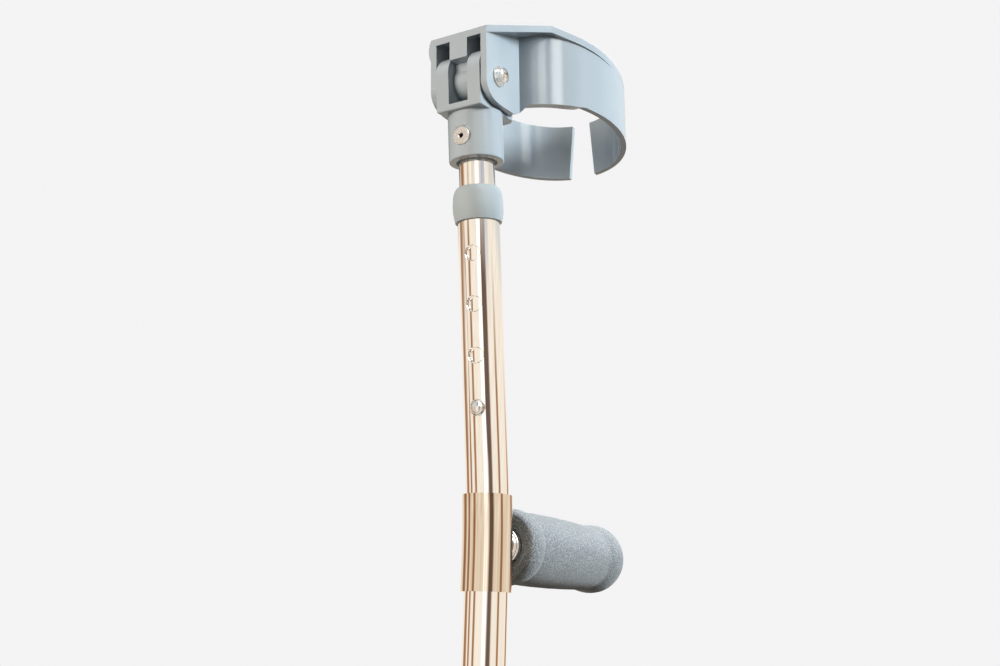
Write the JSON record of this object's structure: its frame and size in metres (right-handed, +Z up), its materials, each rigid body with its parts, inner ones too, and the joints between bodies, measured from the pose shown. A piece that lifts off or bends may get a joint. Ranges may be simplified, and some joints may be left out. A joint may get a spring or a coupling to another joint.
{
  "type": "forearm crutch",
  "caption": "Forearm crutch with a bent tube, foam hand grip, pivoting C-shaped arm cuff on a height-adjustable stem, and an adjustable leg with a rubber tip.",
  "frame": {"origin": "centre of the rubber tip's flat sole, at the rest height setting, on the lower tube's axis", "axes": "+Z up the straight lower tube, +X the way the hand grip points, forward in use"},
  "size_m": [0.1783, 0.0972, 1.1087],
  "materials": {
    "polished_tube": "mirror polished, warm champagne anodised",
    "polished_sleeve": "mirror polished",
    "foam": "fine speckled closed-cell foam, matte",
    "collar_plastic": "matte moulded",
    "cuff_plastic": "satin moulded",
    "dark_plastic": "matte moulded",
    "bright_steel": "bright nickel plated",
    "spring_steel": "plain spring steel",
    "tip_rubber": "dark grey moulded rubber"
  },
  "bodies": {
    "frame": {"outer_tube": "polished_tube", "handle_sleeve": "polished_sleeve", "grip_core": "polished_tube", "grip_core_plug": "dark_plastic", "handle_grip": "foam", "upper_collar": "collar_plastic", "lower_collar": "collar_plastic"},
    "stem": {"cuff_stem_tube": "polished_tube", "stem_end_glide": "dark_plastic", "stem_spring_clip": "spring_steel", "cuff_yoke": "cuff_plastic", "yoke_rivet": "bright_steel"},
    "stem_button": {"stem_snap_button": "bright_steel"},
    "cuff": {"arm_cuff": "cuff_plastic", "pivot_bolt": "bright_steel", "pivot_washers": "bright_steel", "pivot_lock_washer": "bright_steel", "pivot_nut": "bright_steel"},
    "leg": {"leg_tube": "polished_tube", "leg_end_glide": "dark_plastic", "leg_spring_clip": "spring_steel", "rubber_tip": "tip_rubber", "tip_washer": "spring_steel"},
    "leg_button": {"leg_snap_button": "bright_steel"}
  },
  "joints": [
    {"name": "cuff_height", "type": "slide", "parent": "frame", "child": "stem", "axis": [-0.1227, 0, 0.9924], "range_m": [0, 0.0798], "deforming": ["stem_snap_button"]},
    {"name": "stem_button_press", "type": "slide", "parent": "stem", "child": "stem_button", "axis": [0.9764, 0.1788, 0.1208], "range_m": [0, 0.0042], "stiffness_N_per_m": 1200, "springref_m": -0.002, "deforming": ["stem_spring_clip"]},
    {"name": "cuff_swing", "type": "hinge", "parent": "stem", "child": "cuff", "pos_m": [-0.03131, 0, 1.06905], "axis": [0, 1, 0], "range_deg": [-80, 0]},
    {"name": "leg_height", "type": "slide", "parent": "frame", "child": "leg", "axis": [0, 0, 1], "range_m": [-0.1064, 0.0532]},
    {"name": "leg_button_press", "type": "slide", "parent": "leg", "child": "leg_button", "axis": [0.9839, 0.1788, 0], "range_m": [0, 0.0042], "stiffness_N_per_m": 1200, "springref_m": -0.002, "deforming": ["leg_spring_clip"]}
  ]
}
